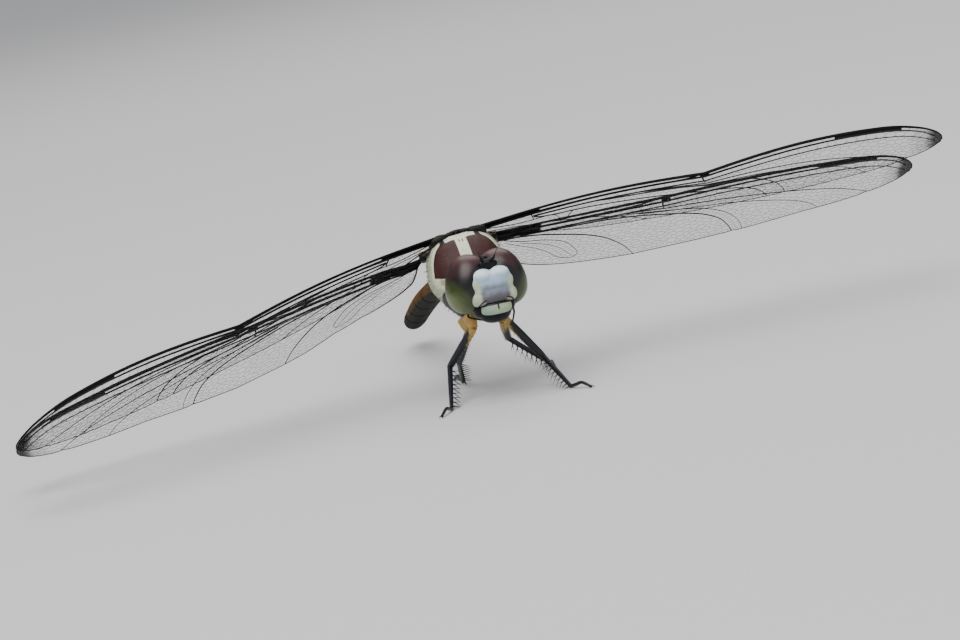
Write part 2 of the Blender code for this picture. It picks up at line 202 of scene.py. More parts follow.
def eye_cornea():
    """Chitin lenses, thousands to an eye: a glassy coat over red-brown, near-black and olive pigment.
    The real facets are 0.04 mm across; they are drawn at 0.11 mm so that they show."""
    gloss = {"Roughness": 0.42, "Specular_IOR_Level": 0.3, "Coat_Weight": 0.4, "Coat_Roughness": 0.3}
    material, shader = surface("compound_eye", IOR=1.5, **gloss)
    at = place_in(shader, HEAD)
    x, _, z = parts_of(at)
    high = z + drift(at, 1.6, 1.4)
    rim = abs(x) * 0.75 - high * 0.45
    colour = paint("0B0808", "301312", soft(high, 1.0, 2.3))
    colour = paint(colour, "482422", soft(high, 2.4, 3.5))
    colour = paint(colour, "2F3A10", soft(rim, 1.95, 2.5))
    colour = paint(colour, "5A6636", soft(rim, 2.6, 3.3))
    # the socket round the face is black
    across = x / 2.45
    up = (z - 0.3) / 2.3
    colour = paint(colour, "06060C", soft(across * across + up * up, 1.15, 0.9))
    facets = node(at.tree, "TexVoronoi", {"Vector": at, "Scale": 1 / FACET_MM}, output="Distance")
    feed(shader, Base_Color=colour)
    rough_skin(shader, facets, 0.25, 0.02)
    return material


def face_chitin():
    """Smooth pale chitin with a waxy bloom: bluish white above, darkening to grey below, and greenish at the
    sides, with a black line over the upper lip that turns up at its ends. The grey below is partly the lower
    plate's own grey and partly painted shade where the face turns under."""
    bloom = {"Subsurface_Weight": 0.08, "Subsurface_Scale": 0.3 * MM}
    material, shader = surface("face_chitin", Roughness=0.48, IOR=1.5, Specular_IOR_Level=0.35, **bloom)
    at = place_in(shader, HEAD)
    x, _, z = parts_of(at)
    outward = abs(x)
    clouds = drift(at, 0.7, 0.7)
    height = z + clouds
    # bluish white above, darker downward: the blue-grey and grey where the face turns under are painted shade
    # over the lower plate's own grey
    colour = paint("5A565C", "7E8794", soft(height, -1.3, -0.35))
    colour = paint(colour, "A9BFD2", soft(height, -0.25, 0.5))
    colour = paint(colour, "DCE9EA", soft(height, 0.8, 1.5))
    low_side = paint("9FAE92", "C3CFB6", grain(at, 0.45))
    colour = paint(colour, low_side, soft(outward + clouds * 0.5, 1.25, 1.7) * soft(z, 1.1, 0.4))
    # a grey-pink corner at each end of the lip line, with a black arc round it
    across = (outward - 1.05) / 0.8
    down_by = (z + 1.95) / 0.6
    ring = (across * across + down_by * down_by).math("SQRT")
    colour = paint(colour, "9C8C84", soft(ring, 1.0, 0.9) * soft(outward, 1.0, 1.1))
    colour = paint(colour, BLACK, soft(abs(ring - 1.0), 0.14, 0.07) * soft(outward, 0.95, 1.15))
    colour = paint(colour, BLACK, soft(z, -1.7, -1.78))
    feed(shader, Base_Color=colour)
    rough_skin(shader, grain(at, 0.12), 0.2, 0.02)
    return material


def lip_chitin():
    """The upper lip: pale green chitin, edged with black and with a short black mark down its middle."""
    material, shader = surface("lip_chitin", Roughness=0.4, IOR=1.5, Specular_IOR_Level=0.4)
    at = place_in(shader, HEAD)
    x, _, z = parts_of(at)
    colour = paint("7F9A92", "98AA86", soft(x, -1.1, 0.2))
    colour = paint(colour, "B4C2A4", grain(at, 0.5) * 0.6)
    colour = paint(colour, BLACK, soft(z, -1.93, -1.84))
    colour = paint(colour, BLACK, soft(abs(x), 0.11, 0.06) * soft(z, -2.45, -2.3))
    feed(shader, Base_Color=colour)
    rough_skin(shader, grain(at, 0.1), 0.2, 0.015)
    return material


def plain_chitin(name, low="08090D", high="14161D", roughness=0.34, size_mm=0.35):
    """Hard tanned chitin in one colour with faint patches; unless told otherwise it is near black with a
    blue cast where the light catches it."""
    material, shader = surface(name, Roughness=roughness, IOR=1.5, Specular_IOR_Level=0.16)
    at = place_in(shader, BODY)
    feed(shader, Base_Color=paint(low, high, grain(at, size_mm)))
    rough_skin(shader, grain(at, 0.08), 0.3, 0.02)
    return material


THORAX_BLACK = "120B09"
SEAM_BLACK = "15100D"


def thorax_chitin():
    """Matt chitin under short down: red-brown plates in front, a cream stripe and collar over the back,
    and cream-green sides with black seams and a black lower edge."""
    material, shader = surface("thorax_chitin", Roughness=0.55, IOR=1.5, Specular_IOR_Level=0.3)
    at = place_in(shader, MARKS)
    x, y, z = parts_of(at)
    outward = abs(x)
    mottle = grain(at, 0.8)
    along = y + drift(at, 1.2, 0.35)
    cream = paint("C9CCA8", "E4E6D2", mottle)
    colour = paint("A6AC86", "C8D0BA", mottle)
    slant = along - z * 0.55
    for seam, wide in ((0.4, 0.1), (3.1, 0.13)):
        colour = paint(colour, SEAM_BLACK, band(slant, seam - wide, seam + wide, 0.1))
    # the front plates, with a black edge and a tan line under them; they end further forward at the sides
    facing = along + (outward - 1.7).math("MAXIMUM", 0.0) * 0.55
    foot = z - (along + 2.4) * 0.31
    colour = paint(colour, cream, soft(facing, -1.8, -2.0) * soft(foot, -0.4, 0.1))
    colour = paint(colour, THORAX_BLACK, soft(facing, -2.45, -2.6) * soft(foot, 0.95, 1.1))
    plate = paint("27110E", "48241E", mottle)
    colour = paint(colour, plate, soft(facing, -2.6, -2.75) * soft(foot, 1.1, 1.25))
    colour = paint(colour, "B59A74", soft(along, -4.2, -4.6) * band(foot, 0.4, 0.85, 0.15))
    # the stripe down the middle and the collar that crosses it
    on_back = soft(z, 3.0, 3.3)
    back_edge = band(along, -3.3, -1.7, 0.08) * on_back * soft(outward, 2.3, 2.0)
    colour = paint(colour, THORAX_BLACK, back_edge)
    stripe = soft(outward, 0.62, 0.54) * soft(along, -1.7, -1.9)
    collar = band(along, -3.1, -1.9, 0.08) * soft(outward, 1.65, 1.5)
    colour = paint(colour, cream, stripe.math("MAXIMUM", collar) * soft(z, 0.4, 0.8))
    ticks = band(outward, 0.13, 0.2, 0.05) * band(along, -3.75, -3.35, 0.06)
    colour = paint(colour, "2A1A14", ticks * on_back)
    # between the wings: dark plates
    saddle = paint(SEAM_BLACK, "4A2F22", grain(at, 1.1))
    colour = paint(colour, saddle, soft(along, -1.75, -1.6) * soft(z, 2.9, 3.4))
    # the black lower edge over a tan underside
    colour = paint(colour, "100D0C", soft(z + along * 0.19, -1.7, -1.85))
    colour = paint(colour, "8C7448", soft(z, -3.7, -4.0))
    feed(shader, Base_Color=colour)
    rough_skin(shader, grain(at, 0.14), 0.35, 0.03)
    return material


def abdomen_chitin():
    """Amber chitin with black along its back and at each ring's end, and painted shade in green-black under
    it; the last rings are black.
    """
    material, shader = surface("abdomen_chitin", Roughness=0.6, IOR=1.5, Specular_IOR_Level=0.04)
    at = place_in(shader, BODY)
    x, y, z = parts_of(at)
    # the abdomen rises in the middle of its length and bends a little sideways
    share = (y - ABDOMEN_FROM) / ABDOMEN_LENGTH
    bow = (share * math.pi).math("SINE")
    outward = abs(x - (share * 0.3 - bow * 0.2))
    up = z - (bow * 0.8 - share * 0.65) - 0.8
    wobble = drift(at, 1.5, 0.4)
    back = outward + wobble - soft(share, 0.1, 0.95) * 0.7 - 0.3
    colour = paint("36210A", "634415", grain(at, 1.2))
    colour = paint(colour, "130E0B", soft(back, 0.15, -0.1) * soft(up, 0.0, 0.5))
    # painted shade: the underside darkened to green-black
    colour = paint(colour, "13150E", soft(up + wobble, -0.1, -0.45))
    colour = paint(colour, "120F0C", soft(share, 0.78, 0.86))
    for ring in ABDOMEN_RINGS:
        colour = paint(colour, "17110C", band(y, ring - 0.14, ring + 0.04, 0.12) * 0.75)
    feed(shader, Base_Color=colour)
    rough_skin(shader, grain(at, 0.1), 0.3, 0.03)
    return material


def leg_chitin():
    """Leg chitin: tan at the hips, turning blue-black along the thigh, later on the side that faces the
    body. The legs' reach and inner attributes say how far out and how far round a point is."""
    material, shader = surface("leg_chitin", Roughness=0.36, IOR=1.5, Specular_IOR_Level=0.4)
    at = place_in(shader, BODY)
    reach = node(at.tree, "Attribute", output="Fac", attribute_name="reach")
    inner = node(at.tree, "Attribute", output="Fac", attribute_name="inner")
    tan = paint("8A6C34", "CDA75F", grain(at, 0.7))
    black = paint("07080C", "151826", grain(at, 0.4))
    darkening = reach + drift(at, 0.5, 0.35) - inner * 0.3
    feed(shader, Base_Color=paint(tan, black, soft(darkening, 1.12, 1.28)))
    rough_skin(shader, grain(at, 0.07), 0.3, 0.02)
    return material


def vein_chitin():
    """Wing veins: fine hollow rods of black-brown chitin, softly glossy."""
    material, shader = surface("wing_vein", Roughness=0.5, IOR=1.5, Specular_IOR_Level=0.08)
    at = place_in(shader, BODY)
    feed(shader, Base_Color=paint("060507", "110D0D", grain(at, 1.5)))
    return material


def wing_film():
    """Clear chitin film a few thousandths of a millimetre thick: it greys what is behind it a little,
    is smoky at the tip and black beside the main veins at the root. UV holds span and chord."""
    material, shader = surface("wing_film", IOR=1.5)
    at = place_in(shader, BODY)
    span, chord, _ = parts_of(node(at.tree, "UVMap", uv_map="span_chord"))
    clouds = grain(at, 3.0)
    hazy = span + (clouds - 0.5) * 0.03
    tip = soft(hazy, 0.9, 0.965) * 0.2 + soft(hazy, 0.96, 0.985) * 0.55
    reach_back = soft(span, 0.09, 0.0) * 0.22 + 0.2
    streak = soft(span, 0.138, 0.128) * soft(chord - reach_back, 0.01, -0.01)
    dark = tip.math("MAXIMUM", streak)
    colour = paint("3C3A38", "120E10", soft(dark, 0.0, 0.3))
    colour = paint(colour, "07060A", streak)
    clear = clouds * 0.03 + 0.05
    feed(
        shader,
        Base_Color=colour,
        Roughness=dark * 0.4 + 0.2,
        Specular_IOR_Level=dark * -0.1 + 0.12,
        Alpha=clear.math("MAXIMUM", dark),
    )
    rough_skin(shader, grain(at, 0.8), 0.15, 0.05)
    return material


def down_hair():
    """Fine stiff hair of the body, grey-brown."""
    material, shader = surface("down", Roughness=0.6, IOR=1.55)
    at = place_in(shader, BODY)
    feed(shader, Base_Color=paint("6E6252", "3A332B", grain(at, 0.8)))
    return material


# ---------------------------------------------------------------- making shapes


def finish(bm, name, material, stands_for=(), sharp=40.0, modifiers=()):
    """Makes a bmesh in millimetres a piece in metres that rides with the animal."""
    bmesh.ops.recalc_face_normals(bm, faces=bm.faces)
    bmesh.ops.transform(bm, matrix=Matrix.Scale(MM, 4), verts=bm.verts)
    mesh = bpy.data.meshes.new(name)
    bm.to_mesh(mesh)
    bm.free()
    mesh.shade_smooth()
    mesh.set_sharp_from_angle(angle=math.radians(sharp))
    mesh.materials.append(material)
    piece = bpy.data.objects.new(name, mesh)
    bpy.context.scene.collection.objects.link(piece)
    for kind, settings in modifiers:
        modifier = piece.modifiers.new(kind.title(), kind)
        for key, value in settings.items():
            setattr(modifier, key, value)
    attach(piece, "root")
    if stands_for:
        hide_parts(*stands_for)
    return piece


def copy_of(name, bm=None):
    """A solid's mesh, merged to one closed surface, in millimetres."""
    bm = bm or bmesh.new()
    before = set(bm.verts)
    bm.from_mesh(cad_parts[name].data)
    made = [v for v in bm.verts if v not in before]
    bmesh.ops.transform(bm, matrix=Matrix.Scale(1 / MM, 4), verts=made)
    bmesh.ops.remove_doubles(bm, verts=made, dist=0.002)
    return bm


def bead(bm, at, radii, power=2.0, detail=4, lean=0.0, matrix=HEAD):
    """A rounded lump: power 2 is an ellipsoid, more is squarer."""
    made = bmesh.ops.create_icosphere(bm, subdivisions=detail, radius=1.0)["verts"]
    for vert in made:
        size = sum(abs(c) ** power for c in vert.co) ** (1 / power)
        vert.co = Vector(r * c / size for r, c in zip(radii, vert.co))
    bmesh.ops.transform(bm, matrix=matrix @ Matrix.Translation(at) @ turn(lean, "Y"), verts=made)
    return made


def cut(bm, point, normal, matrix=HEAD):
    """Takes off what lies beyond a plane and closes the hole."""
    point, normal = matrix @ Vector(point), matrix.to_3x3() @ Vector(normal)
    geom = bm.verts[:] + bm.edges[:] + bm.faces[:]
    bmesh.ops.bisect_plane(bm, geom=geom, dist=1e-4, plane_co=point, plane_no=normal, clear_outer=True)
    bmesh.ops.holes_fill(bm, edges=[e for e in bm.edges if e.is_boundary])


def flow(points, steps):
    """A smooth line through points, with steps parts to each stretch."""
    points = [Vector(p) for p in points]
    padded = [2 * points[0] - points[1], *points, 2 * points[-1] - points[-2]]
    line = []
    for a, b, c, d in zip(padded, padded[1:], padded[2:], padded[3:]):
        reach = (c - b).length
        into = (c - a) * reach / max((b - a).length + reach, 1e-6)
        out = (d - b) * reach / max((d - c).length + reach, 1e-6)
        for i in range(steps):
            t = i / steps
            line.append(
                b * (2 * t**3 - 3 * t**2 + 1)
                + into * (t**3 - 2 * t**2 + t)
                + c * (3 * t**2 - 2 * t**3)
                + out * (t**3 - t**2)
            )
    return line + [points[-1]]


def rods(strands, sides=6):
    """Closed tapered rods as one bmesh: each strand is (points, radii)."""
    joined = bmesh.new()
    for points, radii in strands:
        points = [Vector(p) for p in points]
        ahead = [(b - a).normalized() for a, b in zip(points, points[1:])]
        ahead.append(ahead[-1])
        facing = ahead[0].to_track_quat("Z", "Y")
        rings = []
        for point, radius, before, after in zip(points, radii, [ahead[0], *ahead], ahead):
            facing = before.rotation_difference(after) @ facing
            rings.append(Matrix.LocRotScale(point, facing, Vector.Fill(3, max(radius, 0.004))))
        bm = bmesh.new()
        first = bmesh.ops.create_circle(bm, cap_ends=True, segments=sides, radius=1.0)["verts"]
        bmesh.ops.transform(bm, matrix=rings[0], verts=first)
        made = bmesh.ops.extrude_face_region(bm, geom=bm.faces[:], use_keep_orig=True)["geom"]
        end_face = [e for e in made if isinstance(e, bmesh.types.BMFace)][0]
        for before, after in zip(rings, rings[1:]):
            bmesh.ops.transform(bm, matrix=after @ before.inverted(), verts=end_face.verts)
            if after is not rings[-1]:
                end_face = bmesh.ops.extrude_discrete_faces(bm, faces=[end_face])["faces"][0]
        mesh = bpy.data.meshes.new("rod")
        bm.to_mesh(mesh)
        bm.free()
        joined.from_mesh(mesh)
        bpy.data.meshes.remove(mesh)
    return joined


def centre_of(points):
    return sum(points, Vector()) / len(points)


def ends(name):
    """The two ends of a long solid, the first nearer to the thorax."""
    points = [v.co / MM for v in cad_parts[name].data.vertices]
    centre = centre_of(points)
    one = max(points, key=lambda p: (p - centre).length)
    other = max(points, key=lambda p: (p - one).length)
    found = [centre_of([p for p in points if (p - tip).length < 0.7]) for tip in (one, other)]
    return sorted(found, key=lambda p: (p - BODY.translation).length)


def joint(name, other):
    """Where two solids of a leg meet."""
    tree = kdtree.KDTree(len(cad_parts[other].data.vertices))
    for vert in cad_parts[other].data.vertices:
        tree.insert(vert.co / MM, vert.index)
    tree.balance()
    points = [v.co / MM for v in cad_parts[name].data.vertices]
    return centre_of([p for p in points if tree.find(p)[2] < 0.15])


# ---------------------------------------------------------------- wings

FLAT = ((0.0, 0.0), (1.0, 0.0))

# Each wing: its length, the shares of it at which the nodus and the black cell lie, where it hinges in the
# body, and for each side the degrees that it is swept forward, droops and has its leading edge raised.
# bow is how high its leading margin stands on each side of the nodus; sag lifts the hind margin and
# root_drop lowers the leading one, in millimetres at shares of the length. Its veins are (share of the
# length, share of the chord from the leading margin) along each one, then the radius at its root and end.
WINGS = {
    "fore": {
        "length": 48.0,
        "nodus": 0.49,
        "stigma": (0.774, 0.916),
        "hinge": (2.5, -0.6, 4.5),
        "set": {LEFT: (12.6, 8.0, 13.9), RIGHT: (9.4, 12.4, 15.1)},
        "bow": (0.6, 1.0),
        "sag": {LEFT: FLAT, RIGHT: FLAT},
        "root_drop": {LEFT: FLAT, RIGHT: FLAT},
        "notches": (0.652, 0.925),
        "veins": {
            "subcosta": (
                [(0.0, 0.2), (0.04, 0.13), (0.1, 0.08), (0.2, 0.066), (0.35, 0.056), (0.45, 0.045),
                 (0.489, 0.0)],
                0.09,
                0.07,
            ),
            "radius": (
                [(0.0, 0.36), (0.03, 0.25), (0.07, 0.18), (0.12, 0.15), (0.2, 0.135), (0.35, 0.125),
                 (0.49, 0.115), (0.6, 0.118), (0.7, 0.112), (0.78, 0.1), (0.86, 0.1), (0.92, 0.12),
                 (0.96, 0.19), (0.985, 0.36)],
                0.14,
                0.06,
            ),
            "sector": (
                [(0.115, 0.29), (0.17, 0.245), (0.25, 0.215), (0.35, 0.2), (0.49, 0.19), (0.6, 0.2),
                 (0.7, 0.205), (0.8, 0.215), (0.88, 0.25), (0.93, 0.31), (0.965, 0.45), (0.985, 0.65)],
                0.09,
                0.04,
            ),
            "second": (
                [(0.35, 0.2), (0.42, 0.245), (0.5, 0.3), (0.6, 0.355), (0.7, 0.43), (0.78, 0.53),
                 (0.85, 0.67), (0.9, 0.85), (0.925, 1.0)],
                0.07,
                0.035,
            ),
            "between": (
                [(0.4, 0.27), (0.5, 0.36), (0.6, 0.43), (0.7, 0.55), (0.77, 0.7), (0.81, 0.86),
                 (0.83, 1.0)],
                0.05,
                0.035,
            ),
            "third": (
                [(0.25, 0.215), (0.35, 0.26), (0.45, 0.31), (0.53, 0.38), (0.594, 0.52), (0.632, 0.7),
                 (0.648, 0.88), (0.652, 1.0)],
                0.07,
                0.05,
            ),
            "media": (
                [(0.115, 0.31), (0.155, 0.37), (0.2, 0.37), (0.3, 0.385), (0.4, 0.43), (0.48, 0.5),
                 (0.54, 0.6), (0.585, 0.74), (0.605, 0.88), (0.612, 1.0)],
                0.07,
                0.05,
            ),
            "cubitus": (
                [(0.0, 0.62), (0.05, 0.5), (0.1, 0.44), (0.155, 0.38), (0.175, 0.62), (0.24, 0.7),
                 (0.3, 0.82), (0.35, 1.0)],
                0.055,
                0.04,
            ),
            "anal": ([(0.0, 0.78), (0.06, 0.7), (0.12, 0.66), (0.175, 0.64)], 0.045, 0.04),
            "triangle": ([(0.2, 0.375), (0.177, 0.63)], 0.055, 0.055),
            "arculus": ([(0.112, 0.155), (0.114, 0.43)], 0.07, 0.06),
        },
    },
    "hind": {
        "length": 46.0,
        "nodus": 0.42,
        "stigma": (0.775, 0.91),
        "hinge": (3.3, 3.7, 3.85),
        "set": {LEFT: (5.3, 7.1, 14.9), RIGHT: (-2.8, 7.9, 17.8)},
        "bow": (0.0, 0.4),
        "sag": {
            LEFT: (
                (0.0, 0.5), (0.12, 0.3), (0.21, 0.1), (0.35, -0.3), (0.5, -0.4), (0.6, -0.35), (0.75, 0.0),
                (1.0, 0.0),
            ),
            RIGHT: (
                (0.0, 0.4), (0.045, 0.5), (0.09, 0.8), (0.146, 1.05), (0.218, 0.9), (0.29, 0.3),
                (0.36, -0.05), (0.48, -0.45), (0.6, -0.3), (0.7, 0.0), (1.0, 0.0),
            ),
        },
        "root_drop": {
            LEFT: FLAT,
            RIGHT: ((0.0, 0.7), (0.05, 0.65), (0.1, 0.3), (0.155, 0.2), (0.2, 0.1), (0.27, 0.0), (1.0, 0.0)),
        },
        "notches": (0.585, 0.9),
        "veins": {
            "subcosta": (
                [(0.0, 0.15), (0.03, 0.09), (0.08, 0.055), (0.2, 0.045), (0.34, 0.036), (0.419, 0.0)],
                0.09,
                0.07,
            ),
            "radius": (
                [(0.0, 0.26), (0.03, 0.15), (0.08, 0.11), (0.2, 0.1), (0.42, 0.1), (0.55, 0.1),
                 (0.7, 0.098), (0.78, 0.092), (0.86, 0.097), (0.92, 0.12), (0.96, 0.19), (0.985, 0.36)],
                0.14,
                0.06,
            ),
            "sector": (
                [(0.085, 0.2), (0.14, 0.175), (0.25, 0.16), (0.42, 0.165), (0.55, 0.175), (0.7, 0.19),
                 (0.8, 0.2), (0.88, 0.24), (0.93, 0.31), (0.965, 0.45), (0.985, 0.65)],
                0.09,
                0.04,
            ),
            "second": (
                [(0.33, 0.165), (0.42, 0.235), (0.55, 0.31), (0.66, 0.4), (0.75, 0.51), (0.83, 0.66),
                 (0.88, 0.85), (0.905, 1.0)],
                0.07,
                0.035,
            ),
            "between": (
                [(0.36, 0.24), (0.48, 0.34), (0.58, 0.43), (0.67, 0.56), (0.73, 0.7), (0.77, 0.86),
                 (0.79, 1.0)],
                0.05,
                0.035,
            ),
            "third": (
                [(0.2, 0.16), (0.28, 0.19), (0.36, 0.225), (0.44, 0.3), (0.51, 0.41), (0.56, 0.56),
                 (0.59, 0.74), (0.604, 0.88), (0.61, 1.0)],
                0.05,
                0.035,
            ),
            "media": (
                [(0.085, 0.21), (0.14, 0.21), (0.21, 0.215), (0.28, 0.225), (0.35, 0.265),
                 (0.42, 0.345), (0.5, 0.49), (0.55, 0.67), (0.574, 0.86), (0.585, 1.0)],
                0.08,
                0.06,
            ),
            "cubitus": (
                [(0.0, 0.45), (0.04, 0.3), (0.08, 0.265), (0.134, 0.28), (0.2, 0.37), (0.25, 0.47),
                 (0.29, 0.6), (0.328, 0.8), (0.352, 1.0)],
                0.09,
                0.05,
            ),
            "loop": (
                [(0.05, 0.33), (0.09, 0.38), (0.145, 0.41), (0.186, 0.5), (0.21, 0.66), (0.22, 0.8),
                 (0.205, 0.88), (0.175, 0.84), (0.15, 0.7), (0.12, 0.58), (0.08, 0.48), (0.05, 0.4)],
                0.045,
                0.032,
            ),
            "loop_rib": ([(0.09, 0.43), (0.14, 0.5), (0.175, 0.62), (0.205, 0.82)], 0.035, 0.03),
            "arculus": ([(0.083, 0.11), (0.085, 0.24)], 0.07, 0.06),
        },
    },
}
STRAIGHT_VEINS = ("triangle", "arculus")
COSTA_RADII = (0.2, 0.15, 0.13, 0.14, 0.17, 0.17, 0.15, 0.1, 0.06)
TRAILING_RADII = (0.12, 0.045, 0.045, 0.045)
CELL_STRUT = 0.062  # a real cross-vein is about 0.04 mm thick
FILM_THICK = 0.02  # the real film is thinner than can be drawn
SEED_TRIES = 9000
SETTLE_REACH = 0.24  # a cell's corner this near to a vein moves onto it


PLEAT_HEIGHT = 0.17
PLEATS = ((0.0, 0.0), (0.55, -1.0), (1.2, 0.8), (2.0, -0.6), (3.0, 0.35), (4.5, 0.0))  # by mm behind the edge


def between_points(points, x):
    """The height at x of the straight-sided line through points."""
    return float(np.interp(x, *zip(*points)))


def wing_frame(kind, side):
    x, y, z = WINGS[kind]["hinge"]
    sweep, droop, raised = WINGS[kind]["set"][side]
    angles = [math.radians(a) for a in (-raised, side * droop, -side * sweep)]
    return BODY @ Matrix.Translation((side * x, y, z)) @ Euler(angles, "ZYX").to_matrix().to_4x4()


class WingPlan:
    """A wing laid flat: x runs out from the hinge and v runs forward, both in millimetres."""

    def __init__(self, kind):
        self.kind = kind
        self.wing = WINGS[kind]
        self.length = self.wing["length"]
        self.read_margins()
        self.veins = {}
        for name, (route, *radii) in self.wing["veins"].items():
            points = [self.at(s, share) for s, share in route]
            line = flow(points, 1 if name in STRAIGHT_VEINS else 14)
            self.veins[name] = (line, *radii)

    def read_margins(self):
        """Takes the margins from the solid wing: its cross-sections lie at stations along x."""
        into = wing_frame(self.kind, LEFT).inverted() @ Matrix.Scale(1 / MM, 4)
        stations = {}
        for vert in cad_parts[self.kind + "wing_left"].data.vertices:
            x, y, z = into @ vert.co
            stations.setdefault(round(x, 1), set()).add((round(-y, 2), round(z, 2)))
        rows = [(x, max(s), min(s)) for x, s in sorted(stations.items()) if len(s) >= 6]
        tip = Vector((self.length, (rows[-1][1][0] + rows[-1][2][0]) / 2))
        front = [Vector((x, lead[0])) for x, lead, trail in rows]
        back = [Vector((x, trail[0])) for x, lead, trail in rows]
        root_front = front[0] + (front[0] - front[1]).normalized() * front[0].x
        root_back = Vector((0.0, -1.35))
        edge = flow([root_front, *front, tip, *reversed(back), root_back], 14)
        turn_at = max(range(len(edge)), key=lambda i: edge[i].x)
        for point in edge[turn_at:]:
            for notch in self.wing["notches"]:
                point.y += 0.2 * math.exp(-(((point.x - notch * self.length) / 0.45) ** 2))
        self.edge = edge
        self.front, self.back = edge[: turn_at + 1], edge[turn_at:][::-1]
        self.lead_x, self.lead_v = zip(*self.front)
        self.trail_x, self.trail_v = zip(*self.back)

    def bow(self, span):
        """How far the leading margin stands up: one arch out to the nodus and another beyond it."""
        inner, outer = self.wing["bow"]
        nodus = self.wing["nodus"]
        if span < nodus:
            return inner * math.sin(math.pi * span / nodus)
        return outer * math.sin(math.pi * min((span - nodus) / (1 - nodus), 1.0))

    def lead(self, x):
        return float(np.interp(x, self.lead_x, self.lead_v))

    def trail(self, x):
        return float(np.interp(x, self.trail_x, self.trail_v))

    def at(self, span, share):
        x = span * self.length
        lead, trail = self.lead(x), self.trail(x)
        return Vector((x, lead - share * (lead - trail)))

    def share(self, point):
        """(span, chord share) of a point."""
        lead, trail = self.lead(point[0]), self.trail(point[0])
        return point[0] / self.length, (lead - point[1]) / max(lead - trail, 0.05)

    def height_of(self, name):
        """A function of x that gives a vein's place across the wing."""
        xs, vs = zip(*(p[:2] for p in self.veins[name][0]))
        return lambda x: float(np.interp(x, xs, vs))

    def drape(self, point, side):
        """The place in the row of a flat point: the wing is bowed, pleated along its front veins, and
        its two margins are raised or lowered."""
        x, v = point[0], point[1]
        span, share = self.share(point)
        share = min(max(share, 0.0), 1.0)
        up = self.bow(span) * (1 - share)
        behind = self.lead(x) - v
        up += PLEAT_HEIGHT * between_points(PLEATS, behind) * (1 - 0.5 * span)
        up += between_points(self.wing["sag"][side], span) * share**1.5
        up -= between_points(self.wing["root_drop"][side], span) * (1 - share)
        return wing_frame(self.kind, side) @ Vector((side * x, -v, up))


class Seeds:
    """The points that a wing's cells grow round. Neighbours in a row stay neighbours."""

    def __init__(self):
        self.points, self.chains = [], []

    def free(self, point, reach):
        """Whether no seed stands within reach of a point."""
        if not self.points:
            return True
        gaps = np.array(self.points) - np.array(point[:2])
        return float((gaps * gaps).sum(1).min()) > reach * reach

    def row(self, points, reach):
        last = None
        for point in points:
            if self.free(point, reach):
                self.points.append(tuple(point[:2]))
                if last is not None:
                    self.chains.append((last, len(self.points) - 1))
                last = len(self.points) - 1
            else:
                last = None


def halfway(upper, lower, start, end, pitch):
    """Points midway between two lines of the wing, at a nearly even pitch."""
    xs = np.arange(start, end, pitch)
    return [(x + random.uniform(-0.08, 0.08) * pitch, (upper(x) + lower(x)) / 2) for x in xs]


def front_seeds(plan, seeds):
    """One row of square cells between each two of the front veins. The first row is mirrored in the
    leading margin, so that its cells end there."""
    length, nodus = plan.length, plan.wing["nodus"] * plan.length
    stigma = [s * length for s in plan.wing["stigma"]]
    subcosta, radius, sector = (plan.height_of(name) for name in ("subcosta", "radius", "sector"))
    sector_from = plan.veins["sector"][0][0][0]
    inner = halfway(plan.lead, subcosta, 0.8, nodus - 0.6, 1.15)
    outer = halfway(plan.lead, radius, nodus + 3.0, stigma[0], 1.25)
    outer.append((sum(stigma) / 2, plan.at(sum(stigma) / 2 / length, 0.05)[1]))
    outer += halfway(plan.lead, radius, stigma[1] + 0.4, 0.975 * length, 0.75)
    first = inner + [(nodus + 1.4, (plan.lead(nodus + 1.4) + radius(nodus + 1.4)) / 2)] + outer
    seeds.row([(x, 2 * plan.lead(x) - v) for x, v in first], 0.2)
    seeds.row(first, 0.2)
    seeds.row(halfway(subcosta, radius, 1.2, nodus - 1.0, 1.15), 0.2)
    seeds.row(halfway(radius, sector, sector_from + 0.3, 0.965 * length, 1.0), 0.2)


def hind_seeds(plan, seeds):
    """Seeds in pairs on both sides of the hind margin and of the other veins, so that the cells' walls
    follow them, then wherever there is room."""
    length = plan.length
    tip_start = max(i for i, p in enumerate(plan.edge) if p[0] < 0.97 * length and i < len(plan.front))
    margin = walk(plan.edge[tip_start:], 0.52)
    for offset in (0.26, -0.26):
        seeds.row([p + n * offset for p, n in margin], 0.24)
    for name in ("media", "cubitus", "third", "second", "between", "sector", "anal", "loop", "loop_rib"):
        if name in plan.veins:
            beside = walk(plan.veins[name][0], 0.62)
            for offset in (0.3, -0.3):
                if name == "sector" and offset > 0:
                    continue
                seeds.row([p + n * offset for p, n in beside], 0.36)
    for _ in range(SEED_TRIES):
        x = random.uniform(0.3, length)
        point = (x, random.uniform(plan.trail(x) + 0.1, plan.lead(x) - 0.1))
        span, share = plan.share(point)
        if seeds.free(point, 0.74 - 0.2 * share - 0.05 * span):
            seeds.points.append(point)


def grow_cells(seeds):
    """One flat many-sided cell round each seed: the dual of the triangles between the seeds."""
    points = [Vector(p) for p in seeds.points]
    flat, _, faces, *_ = geometry.delaunay_2d_cdt(points, seeds.chains, [], 0, 1e-6)
    mesh = bpy.data.meshes.new("cells")
    mesh.from_pydata([(p[0], p[1], 0.0) for p in flat], [], [list(f) for f in faces])
    bm = bmesh.new()
    bm.from_mesh(mesh)
    bpy.data.meshes.remove(mesh)
    corners = bm.verts[:]
    walls = [e for e in bm.edges if not e.is_boundary]
    bmesh.ops.poke(bm, faces=bm.faces[:])
    bmesh.ops.rotate_edges(bm, edges=walls, use_ccw=False)
    bmesh.ops.dissolve_verts(bm, verts=[v for v in corners if not v.is_boundary])
    return bm


